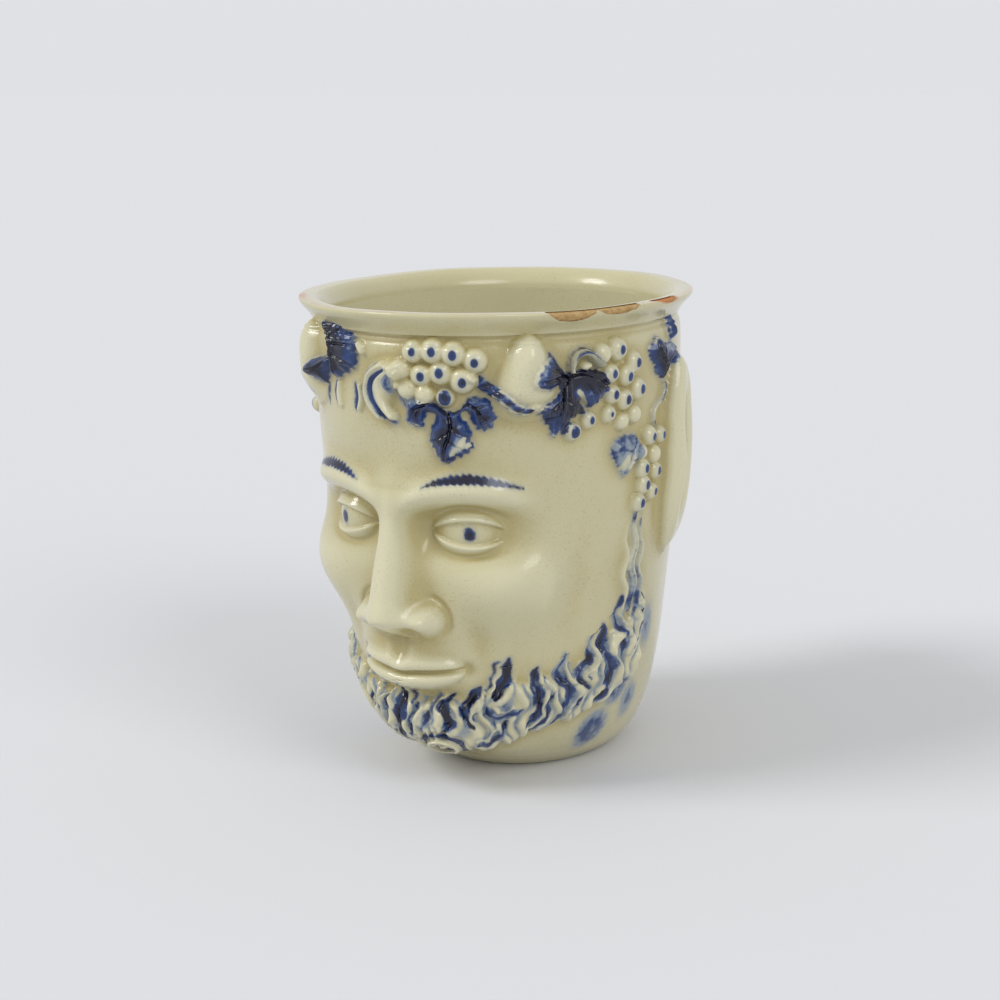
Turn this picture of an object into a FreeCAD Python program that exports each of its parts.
# A press-moulded pottery mug in the shape of a satyr's head, in millimetres.
# +Z is up, the face looks along -Y, and the origin is the centre of the foot on the table.
# Left and right are the head's own: its left side is at +X.
import FreeCAD
import Part

import math
import os

from FreeCAD import Placement, Rotation, Vector

os.makedirs("parts", exist_ok=True)
doc = FreeCAD.newDocument("head_mug")
sheet = doc.addObject("Spreadsheet::Sheet", "Sizes")

# Driving dimensions, in millimetres.
sizes = {
    "mug_height": 125.0,
    "head_front": 69.0,
    "head_back": 40.0,
    "head_half_width": 44.5,
    "foot_thickness": 5.0,
    "wall": 4.5,
    "floor_rounding": 3.0,
    "lip_height": 5.5,
    "lip_overhang": 3.2,
    "lip_wall": 3.6,
    "seam_place": 10.0,
    "handle_top": 104.0,
    "handle_low": 46.0,
    "handle_reach": 70.0,
    "strap_half_width": 6.5,
    "strap_half_thickness": 3.6,
    "horn_low": 94.0,
    "horn_length": 24.0,
    "horn_radius": 7.6,
    "ear_level": 84.0,
    "ear_half_length": 27.0,
    "ear_half_width": 9.5,
    "ear_standout": 6.5,
    "ear_rim": 2.6,
    "grape_radius": 2.9,
    "leaf_thickness": 2.6,
    "leaf_half_size": 12.5,
    "drop_half_length": 6.5,
    "stem_radius": 1.9,
    "beard_thickness": 5.2,
    "beard_step": 1.8,
    "lock_half_width": 5.4,
    "eye_spacing": 17.8,
    "eye_level": 70.8,
}
for row, (alias, value) in enumerate(sizes.items(), 1):
    sheet.set("A%d" % row, alias)
    sheet.set("B%d" % row, str(value))
    sheet.setAlias("B%d" % row, alias)
doc.recompute()


def size(alias):
    return float(sheet.get(alias))


# Profile of the head from the foot to the neck under the lip, as shares of its own sizes.
head_height_shares = (0, 0.035, 0.10, 0.21, 0.38, 0.58, 0.78, 0.92, 1)
head_front_shares = (0.405, 0.50, 0.64, 0.765, 0.86, 0.92, 0.955, 0.985, 1)
head_back_shares = (0.70, 0.78, 0.88, 0.95, 1, 1, 1, 1, 0.98)
head_half_shares = (0.54, 0.65, 0.75, 0.835, 0.90, 0.975, 1, 1, 1)
# Profile of the lip above the neck, as shares of its height and of its overhang.
lip_height_shares = (0, 0.3, 0.58, 0.8, 1)
lip_out_shares = (0, 0.1, 0.62, 1, 0.78)

neck_height = size("mug_height") - size("lip_height")
oval_sides = 36
form_sides = 12
grape_sides = 8


def ring(centre, side, other, half_side, half_other, sides):
    """Corners of a level ring about a centre, by its half sizes along two directions."""
    turns = [2 * math.pi * i / sides for i in range(sides)]
    return [centre + side * (half_side * math.cos(t)) + other * (half_other * math.sin(t))
            for t in turns]


def section(height, front, back, half):
    """One level oval of the head."""
    centre = Vector(0, (back - front) / 2, height)
    return ring(centre, Vector(1, 0, 0), Vector(0, 1, 0), half, (front + back) / 2, oval_sides)


def flat_face(*corners):
    return Part.Face(Part.makePolygon(list(corners) + [corners[0]]))


def loft(name, rings):
    """Closed solid through the rings, in flat facets."""
    faces = [flat_face(*rings[0]), flat_face(*rings[-1])]
    for low, high in zip(rings, rings[1:]):
        for i, corner in enumerate(low):
            after = (i + 1) % len(low)
            faces.append(flat_face(corner, low[after], high[after]))
            faces.append(flat_face(corner, high[after], high[i]))
    body = doc.addObject("Part::Feature", name)
    body.Shape = Part.Solid(Part.Shell(faces))
    return body


head_shares = list(zip(head_height_shares, head_front_shares, head_back_shares, head_half_shares))


def head_section(height, shares, grow):
    """An oval of the head by its shares of the front, the back and the half width."""
    front, back, half = shares
    return section(height, size("head_front") * front + grow,
                   size("head_back") * back + grow, size("head_half_width") * half + grow)


def head_sections(first, grow):
    """Ovals of the head from the given one up to the neck, grown by a length."""
    return [head_section(neck_height * shares[0], shares[1:], grow)
            for shares in head_shares[first:]]


def combine(kind, name, base, tool):
    piece = doc.addObject("Part::" + kind, name)
    piece.Base = base
    piece.Tool = tool
    return piece


def solid(name, shape):
    body = doc.addObject("Part::Feature", name)
    body.Shape = shape
    return body


def added(base, tools):
    """The base shape with the tools luted on one after another."""
    shape = base.Shape
    for tool in tools:
        shape = shape.fuse(tool.Shape)
    return shape


def removed(base, tools):
    """The base shape with the tools taken out of it one after another."""
    shape = base.Shape
    for tool in tools:
        shape = shape.cut(tool.Shape)
    return shape


def fuse(name, pieces):
    return solid(name, added(pieces[0], pieces[1:]))


def block(name, low, high):
    """A box from its lowest corner to its highest, for dividing the head."""
    box = doc.addObject("Part::Box", name)
    box.Length, box.Width, box.Height = [b - a for a, b in zip(low, high)]
    box.Placement = Placement(Vector(*low), Rotation())
    return box


skin = loft("skin", head_sections(0, 0))
leaf_skin = loft("leaf_skin", head_sections(0, size("leaf_thickness")))
beard_skin = loft("beard_skin", head_sections(0, size("beard_thickness")))
low_skin = loft("low_skin", head_sections(0, size("beard_thickness") - size("beard_step")))
hollow_floor = head_section(size("foot_thickness"), head_shares[1][1:],
                            -size("wall") - size("floor_rounding"))
hollow = loft("hollow", [hollow_floor] + head_sections(2, -size("wall")))

middle_y = (size("head_back") - size("head_front")) / 2
middle_depth = (size("head_back") + size("head_front")) / 2
whole_reach = size("mug_height")


def outermost(start, direction):
    """Where a level ray from inside the head leaves it."""
    ray = Part.makeLine(start, start + direction * whole_reach).common(skin.Shape)
    return max(ray.Vertexes, key=lambda v: (v.Point - start).Length).Point


def on_head(turn, height, lift=0.0, lean=0.0):
    """Placement on the head: Z outward, Y up, X to the side. The turn is from the nose."""
    angle = math.radians(turn)
    half = size("head_half_width")
    across = Vector(half * math.sin(angle), -middle_depth * math.cos(angle), 0).normalize()
    outward = Vector(math.sin(angle) / half, -math.cos(angle) / middle_depth, 0).normalize()
    point = outermost(Vector(0, middle_y, height), across)
    side = Vector(0, 0, 1).cross(outward)
    facing = Rotation(side, Vector(0, 0, 1), outward, "ZYX")
    return Placement(point + outward * lift, facing * Rotation(Vector(0, 0, 1), lean))


def outline(name, points):
    """Closed face with straight sides through the points."""
    corners = [Vector(*point) for point in points]
    flat = doc.addObject("Part::Feature", name)
    flat.Shape = Part.Face(Part.makePolygon(corners + corners[:1]))
    return flat


def prism(name, flat, place):
    """The outline on the head, run straight in and out through the wall."""
    reach = place.Rotation.multVec(Vector(0, 0, 1)) * size("leaf_half_size")
    placed = flat.Shape.copy()
    placed.Placement = Placement(place.Base - reach, place.Rotation)
    return solid(name, placed.extrude(reach * 2))


ball_latitudes = (-68, -36, 0, 36, 68)


def ellipsoid(name, centre, facing, across, deep, tall):
    """Rounded form of rings about its tall axis, with small flats at its two ends."""
    side = facing.multVec(Vector(1, 0, 0))
    front = facing.multVec(Vector(0, 1, 0))
    up = facing.multVec(Vector(0, 0, 1))
    rings = []
    for latitude in ball_latitudes:
        narrow = math.cos(math.radians(latitude))
        middle = centre + up * (tall * math.sin(math.radians(latitude)))
        rings.append(ring(middle, side, front, across * narrow, deep * narrow, form_sides))
    return loft(name, rings)


def rod(name, points, side, half_sides, half_others, sides):
    """Form of rings square to a route of points, flat on the given side direction."""
    rings = []
    for i, point in enumerate(points):
        before = points[max(i - 1, 0)]
        after = points[min(i + 1, len(points) - 1)]
        other = (after - before).cross(side).normalize()
        rings.append(ring(point, side, other, half_sides[i], half_others[i], sides))
    return loft(name, rings)


# The face: rounded hills on the front of the head, in shares of the eye spacing. Each row holds
# its place across and above the eyes, how far it stands out, and its spread across and up.
hill_shares = {
    "brow_inner": (0.46, 0.52, 0.19, 0.34, 0.23),
    "brow_middle": (0.98, 0.64, 0.19, 0.42, 0.23),
    "brow_outer": (1.44, 0.52, 0.15, 0.34, 0.24),
    "between_brows": (0, 0.56, 0.16, 0.32, 0.32),
    "nose_root": (0, 0.2, 0.13, 0.27, 0.30),
    "nose_upper": (0, -0.15, 0.20, 0.27, 0.30),
    "nose_middle": (0, -0.5, 0.28, 0.28, 0.30),
    "nose_lower": (0, -0.85, 0.36, 0.29, 0.30),
    "nose_tip": (0, -1.12, 0.46, 0.31, 0.21),
    "nostril": (0.41, -1.2, 0.32, 0.18, 0.20),
    "cheek": (1.35, -0.83, 0.29, 0.62, 0.58),
    "cheekbone": (1.74, -0.44, 0.12, 0.48, 0.46),
    "muzzle": (0, -1.93, 0.28, 0.84, 0.56),
    "upper_lip": (0, -1.88, 0.13, 0.60, 0.11),
    "mouth_line": (0, -2.01, -0.12, 0.66, 0.06),
    "lower_lip": (0, -2.15, 0.19, 0.52, 0.13),
    "under_lip": (0, -2.45, -0.12, 0.52, 0.14),
    "chin": (0, -3.0, 0.16, 0.70, 0.44),
}
relief_sink_share = 0.045
relief_low_share = -3.5
relief_high_share = 0.95
relief_turn = 60.0
relief_columns = 46
relief_rows = 43
socket_shares = (1, 0.02, -0.26, 0.60, 0.36, 0.34, 0, 0)
lid_shares = (1, 0, 0.14, 0.56, 0.38, 0.34, 0, 0)
eyeball_shares = (1, 0, 0.12, 0.49, 0.31, 0.30, 0, 0)
almond_shares = ((-0.46, 0), (-0.22, 0.15), (0.2, 0.17), (0.46, 0.02), (0.22, -0.14),
                 (-0.2, -0.13))


def oval_sizes(height):
    """Front, back and half width of the head, on straight lines between its ovals."""
    share = height / neck_height
    for low, high in zip(head_shares, head_shares[1:]):
        if share <= high[0]:
            part = (share - low[0]) / (high[0] - low[0])
            mixed = [a + part * (b - a) for a, b in zip(low[1:], high[1:])]
            lengths = (size("head_front"), size("head_back"), size("head_half_width"))
            return [length * amount for length, amount in zip(lengths, mixed)]
    raise ValueError("above the neck")


def relief_out(across, up):
    """How far the face stands out of the head, in shares of the eye spacing."""
    out = -relief_sink_share
    for place, level, stand, wide, tall in hill_shares.values():
        x = (abs(across) - place) / wide
        z = (up - level) / tall
        out += stand * math.exp(-x * x - z * z)
    return out


def relief_row(up):
    """One row of points on the face at a height above the eyes."""
    unit = size("eye_spacing")
    height = size("eye_level") + up * unit
    front, back, half = oval_sizes(height)
    reach = (front + back) / 2
    row = []
    for column in range(relief_columns + 1):
        angle = math.radians(relief_turn * (2 * column / relief_columns - 1))
        across, ahead = math.sin(angle), -math.cos(angle)
        point = Vector(half * across, (back - front) / 2 + reach * ahead, height)
        outward = Vector(across / half, ahead / reach, 0).normalize()
        row.append(point + outward * (relief_out(point.x / unit, up) * unit))
    return row


def face_relief(name):
    """The face as one solid that runs back to a point inside the head."""
    rise = (relief_high_share - relief_low_share) / relief_rows
    rows = [relief_row(relief_low_share + rise * i) for i in range(relief_rows + 1)]
    faces = []
    for low, high in zip(rows, rows[1:]):
        for i in range(relief_columns):
            faces.append(flat_face(low[i], low[i + 1], high[i + 1]))
            faces.append(flat_face(low[i], high[i + 1], high[i]))
    edge = rows[0] + [row[-1] for row in rows[1:]]
    edge += rows[-1][-2::-1] + [row[0] for row in rows[-2:0:-1]]
    apex = Vector(0, middle_y, size("eye_level") - size("eye_spacing"))
    for i, corner in enumerate(edge):
        faces.append(flat_face(corner, apex, edge[(i + 1) % len(edge)]))
    return solid(name, Part.Solid(Part.Shell(faces)))


def face_form(name, shares, side):
    unit = size("eye_spacing")
    across, up, sunk, half, deep, tall, tilt, lean = shares
    height = size("eye_level") + up * unit
    start = Vector(side * across * unit, middle_y, height)
    front = outermost(start, Vector(0, -1, 0))
    centre = front + Vector(0, sunk * unit, 0)
    facing = Rotation(Vector(1, 0, 0), tilt) * Rotation(Vector(0, 1, 0), side * lean)
    return ellipsoid(name, centre, facing, half * unit, deep * unit, tall * unit)


def both_sides(name, shares):
    return [face_form(name + "_left", shares, 1), face_form(name + "_right", shares, -1)]


swollen = solid("swollen", added(skin, [face_relief("face_relief")]))
socketed = solid("socketed", removed(swollen, both_sides("socket", socket_shares)))


def eye_opening(name, side):
    """Almond gap between the lids."""
    unit = size("eye_spacing")
    flat = outline(name, [(side * x * unit, y * unit) for x, y in almond_shares])
    start = Vector(side * unit, middle_y, size("eye_level"))
    front = outermost(start, Vector(0, -1, 0))
    facing = Rotation(Vector(1, 0, 0), Vector(0, 0, 1), Vector(0, -1, 0), "ZYX")
    return prism(name + "_prism", flat, Placement(front, facing))


lids = []
for lid, side in zip(both_sides("lid", lid_shares), (1, -1)):
    gap = eye_opening(lid.Name + "_gap", side)
    lids.append(solid(lid.Name + "_open", removed(lid, [gap])))
eyes = lids + both_sides("eyeball", eyeball_shares)
head_form = solid("head_form", added(socketed, eyes))

# The shells: the head with its hollow, divided at the foot and at the mould seam.
front_wall = combine("Cut", "front_wall", head_form, hollow)
back_wall = combine("Cut", "back_wall", skin, hollow)
seam = size("seam_place")
foot_top = size("foot_thickness")
front_space = block("front_space", (-whole_reach, -whole_reach, foot_top),
                    (whole_reach, seam, neck_height))
back_space = block("back_space", (-whole_reach, seam, foot_top),
                   (whole_reach, whole_reach, neck_height))
foot_space = block("foot_space", (-whole_reach, -whole_reach, 0),
                   (whole_reach, whole_reach, foot_top))
face_half = combine("Common", "face_half", front_wall, front_space)
back_half = combine("Common", "back_half", back_wall, back_space)
base_disc = combine("Common", "base_disc", skin, foot_space)

# The lip: it turns out from the neck over a cove, with a rounded edge.
top_shares = head_shares[-1][1:]


def lip_section(up, change):
    return head_section(neck_height + size("lip_height") * up, top_shares, change)


lip_outside = loft("lip_outside", [lip_section(up, size("lip_overhang") * out)
                                   for up, out in zip(lip_height_shares, lip_out_shares)])
lip_inner_edge = size("lip_overhang") * lip_out_shares[-1] - size("lip_wall")
lip_inside = loft("lip_inside", [
    lip_section(0, -size("wall")),
    lip_section(lip_height_shares[2], (lip_inner_edge - size("wall")) / 2),
    lip_section(1, lip_inner_edge)])
rim_band = combine("Cut", "rim_band", lip_outside, lip_inside)

# The handle: an oval strap from high on the back to low on it.
handle_reach_shares = (0.52, 0.74, 0.93, 1, 0.97, 0.9, 0.8, 0.68, 0.52)
handle_height_shares = (0.96, 1, 0.95, 0.8, 0.62, 0.44, 0.26, 0.1, 0)
rise = size("handle_top") - size("handle_low")
centre_reach = size("handle_reach") - size("strap_half_thickness")
route = [Vector(0, centre_reach * out, size("handle_low") + rise * up)
         for out, up in zip(handle_reach_shares, handle_height_shares)]
strap = rod("strap", route, Vector(1, 0, 0), [size("strap_half_width")] * len(route),
            [size("strap_half_thickness")] * len(route), form_sides)
handle = combine("Cut", "handle", strap, skin)

# The horns: round in section, standing on the brow and bending to the back at the tip.
horn_rise_shares = (0, 0.08, 0.3, 0.6, 0.86, 1)
horn_radius_shares = (0.62, 0.92, 1, 0.72, 0.38, 0.16)
horn_lift_shares = (-0.2, -0.1, 0, -0.1, -0.2, -0.25)
horn_turn = 43.0
horn_bend = -4.0


def horn(name, side):
    points = []
    for up, lift in zip(horn_rise_shares, horn_lift_shares):
        place = on_head(side * (horn_turn + horn_bend * up),
                        size("horn_low") + size("horn_length") * up,
                        size("horn_radius") * lift)
        points.append(place.Base)
    across = on_head(side * horn_turn, size("horn_low")).Rotation.multVec(Vector(1, 0, 0))
    radii = [size("horn_radius") * share for share in horn_radius_shares]
    cone = rod(name + "_cone", points, across, radii, radii, form_sides)
    return combine("Cut", name, cone, skin)


# The ears: tall, with a rolled edge round a shallow hollow.
ear_turn = 104.0
ear_hollow_shares = (0.62, 0.8, 0.82)


def ear(name, side):
    place = on_head(side * ear_turn, size("ear_level"))
    outward = place.Rotation.multVec(Vector(0, 0, 1))
    half, tall = size("ear_half_width"), size("ear_half_length")
    out = size("ear_standout")
    facing = place.Rotation * Rotation(Vector(1, 0, 0), -90)
    lobe = ellipsoid(name + "_lobe", place.Base, facing, half, out, tall)
    share_across, share_out, share_tall = ear_hollow_shares
    dish = ellipsoid(name + "_dish", place.Base + outward * (out + size("ear_rim")), facing,
                     half * share_across, out * share_out, tall * share_tall)
    return combine("Cut", name, combine("Cut", name + "_hollowed", lobe, dish), skin)


# The vine leaves: toothed lobes drawn round the stalk.
# Each pair is a share of the leaf's half size, across and up.
lobe_point_shares = (
    (0, -1), (0.2, -0.72), (0.34, -0.66), (0.3, -0.36), (0.62, -0.5), (0.72, -0.24), (1, -0.12),
    (0.8, 0.1), (0.5, 0.16), (0.78, 0.46), (0.6, 0.8), (0.3, 0.66), (0, 0.44),
    (-0.3, 0.66), (-0.6, 0.8), (-0.78, 0.46), (-0.5, 0.16), (-0.8, 0.1), (-1, -0.12),
    (-0.72, -0.24), (-0.62, -0.5), (-0.3, -0.36), (-0.34, -0.66), (-0.2, -0.72))
drop_point_shares = (
    (0, -1), (0.36, -0.7), (0.6, -0.15), (0.62, 0.35), (0.36, 0.82), (0, 1),
    (-0.36, 0.82), (-0.62, 0.35), (-0.6, -0.15), (-0.36, -0.7))


def pressed(name, place_shares, point_shares, half):
    """A leaf pressed on the head, one leaf thickness proud of it."""
    turn, up, lean, grow = place_shares
    span = size(half) * grow
    flat = outline(name + "_outline", [(x * span, y * span) for x, y in point_shares])
    place = on_head(turn, up * size("mug_height"), 0, lean)
    cap = combine("Common", name + "_cap", leaf_skin, prism(name + "_prism", flat, place))
    return combine("Cut", name, cap, skin)


def leaf(name):
    return pressed(name, leaf_place_shares[name], lobe_point_shares, "leaf_half_size")


def drop_leaf(name):
    return pressed(name, drop_place_shares[name], drop_point_shares, "drop_half_length")


grape_depth_shares = (-0.5, 0.2, 0.72, 0.98)
grape_width_shares = (0.9, 1, 0.7, 0.28)


def grapes(name, side, places):
    """A bunch of round grapes, each at a turn and a height share, standing out of the wall."""
    radius = size("grape_radius")
    radii = [radius * share for share in grape_width_shares]
    balls = []
    for i, (turn, up) in enumerate(places):
        place = on_head(side * turn, up * size("mug_height"))
        outward = place.Rotation.multVec(Vector(0, 0, 1))
        across = place.Rotation.multVec(Vector(1, 0, 0))
        points = [place.Base + outward * (radius * share) for share in grape_depth_shares]
        balls.append(rod("%s_%d" % (name, i), points, across, radii, radii, grape_sides))
    return combine("Cut", name, fuse(name + "_bunch", balls), skin)


# Each grape: its turn from the nose, and its height as a share of the mug.
forehead_place_shares = (
    (7.2, 0.89), (11.1, 0.926), (16.9, 0.928), (22.8, 0.923), (29, 0.91), (13.4, 0.882),
    (19.2, 0.887), (25.4, 0.874), (9, 0.855), (14.2, 0.846), (20.4, 0.842))
temple_place_shares = (
    (66.3, 0.909), (71.6, 0.914), (78.1, 0.884), (69.3, 0.869), (75, 0.861), (80, 0.83),
    (70.2, 0.828), (74.6, 0.814), (69.2, 0.79), (79, 0.781), (74.2, 0.771))
hanging_place_shares = (
    (86.2, 0.73), (91.6, 0.725), (82.6, 0.70), (88.5, 0.69), (83.4, 0.667), (89.8, 0.654),
    (84.4, 0.632), (88.8, 0.613), (83, 0.597))
# The stem's way, and each leaf's place and size: turn, height share, lean and size share.
stem_place_shares = ((28, 0.872), (33, 0.835), (39, 0.815), (46, 0.825))
leaf_place_shares = {
    "leaf_forehead": (20, 0.785, 0, 0.86),
    "leaf_horn_left": (53.5, 0.862, -8, 1),
    "leaf_temple_right": (-19, 0.885, 8, 0.92),
    "leaf_ear_left": (93, 0.865, 12, 0.86),
    "leaf_ear_right": (-93, 0.865, -12, 0.86),
}
drop_place_shares = {
    "leaf_curl": (-3, 0.84, -28, 1),
    "leaf_drop_left": (74, 0.705, 4, 1),
    "leaf_drop_right": (-74, 0.705, -4, 1),
}


def stem(name):
    """A vine stem along the head through its places."""
    radius = size("stem_radius")
    places = [on_head(turn, up * size("mug_height")) for turn, up in stem_place_shares]
    outward = places[0].Rotation.multVec(Vector(0, 0, 1))
    points = [place.Base + outward * (radius / 2) for place in places]
    radii = [radius] * len(points)
    return combine("Cut", name, rod(name + "_rod", points, outward, radii, radii, grape_sides),
                   skin)


# The beard: pointed locks side by side round the jaw, each second one a step lower.
lock_turn = 9.5
front_locks = 3
side_locks = 6
jaw_turns = (0, 20, 33, 55, 68, 90)
jaw_top_shares = (0.235, 0.25, 0.29, 0.31, 0.36, 0.42)
jaw_low_shares = (0.065, 0.068, 0.085, 0.145, 0.165, 0.20)
lock_point_shares = (
    (-0.2, -1), (0.5, -0.7), (1, -0.2), (0.85, 0.4), (0.2, 1), (-0.5, 0.7), (-1, 0.1),
    (-0.8, -0.5))


def along_jaw(turn, shares):
    """Value at a turn, on straight lines between the given places round the jaw."""
    for i, place in enumerate(jaw_turns[1:]):
        if turn <= place:
            part = (turn - jaw_turns[i]) / (place - jaw_turns[i])
            return shares[i] + part * (shares[i + 1] - shares[i])
    return shares[-1]


def beard_lock(name, number):
    turn = abs(number) * lock_turn
    top = along_jaw(turn, jaw_top_shares) * size("mug_height")
    low = along_jaw(turn, jaw_low_shares) * size("mug_height")
    half_tall = (top - low) / 2
    points = [(x * size("lock_half_width"), y * half_tall) for x, y in lock_point_shares]
    flat = outline(name + "_outline", points)
    place = on_head(number * lock_turn, (top + low) / 2)
    return prism(name + "_prism", flat, place)


def beard(name, numbers):
    layers = []
    for layer, cover in enumerate((beard_skin, low_skin)):
        locks = [beard_lock("%s_lock_%d" % (name, n % 100), n) for n in numbers if n % 2 == layer]
        mass = fuse("%s_locks_%d" % (name, layer), locks)
        layers.append(solid("%s_layer_%d" % (name, layer), mass.Shape.common(cover.Shape)))
    return combine("Cut", name, fuse(name + "_mass", layers), head_form)


shells = [face_half, back_half, base_disc, rim_band, handle]
ornaments = [
    ear("ear_left", 1), ear("ear_right", -1),
    horn("horn_left", 1), horn("horn_right", -1),
    grapes("grapes_forehead", 1, forehead_place_shares),
    leaf("leaf_forehead"),
    leaf("leaf_horn_left"),
    leaf("leaf_temple_right"),
    drop_leaf("leaf_curl"),
    stem("vine_stem"),
    grapes("grapes_temple_left", 1, temple_place_shares),
    grapes("grapes_temple_right", -1, temple_place_shares),
    leaf("leaf_ear_left"),
    leaf("leaf_ear_right"),
    drop_leaf("leaf_drop_left"),
    drop_leaf("leaf_drop_right"),
    grapes("grapes_hanging_left", 1, hanging_place_shares),
    grapes("grapes_hanging_right", -1, hanging_place_shares),
    beard("beard_front", range(-front_locks, front_locks + 1)),
    beard("beard_left", range(front_locks + 1, front_locks + side_locks + 1)),
    beard("beard_right", range(-front_locks - side_locks, -front_locks)),
]
doc.recompute()

# The ornaments are put on in this order, and each is trimmed to those that it meets.
finished = []
for piece in ornaments:
    fitted = piece
    for earlier in finished:
        near = fitted.Shape.BoundBox.intersect(earlier.Shape.BoundBox)
        if near and fitted.Shape.common(earlier.Shape).Volume > 0:
            trimmed = combine("Cut", piece.Name + "_on_" + earlier.Name, fitted, earlier)
            doc.recompute()
            fitted = trimmed
    finished.append(fitted)

for entry in doc.Objects:
    if "Invalid" in entry.State or "Error" in entry.State:
        raise RuntimeError("failed: " + entry.Name)
for piece, fitted in zip(shells + ornaments, shells + finished):
    node = piece.Name
    if fitted is not piece:
        piece.Label = node + "_untrimmed"
        fitted.Label = node
    shape = fitted.Shape
    if shape.isNull() or not shape.isValid() or not shape.Solids:
        raise RuntimeError("bad solid: " + node)
    shape.exportStep("parts/%s.step" % node)
    print("%-22s solids %2d volume %9.1f mm3" % (node, len(shape.Solids), shape.Volume))
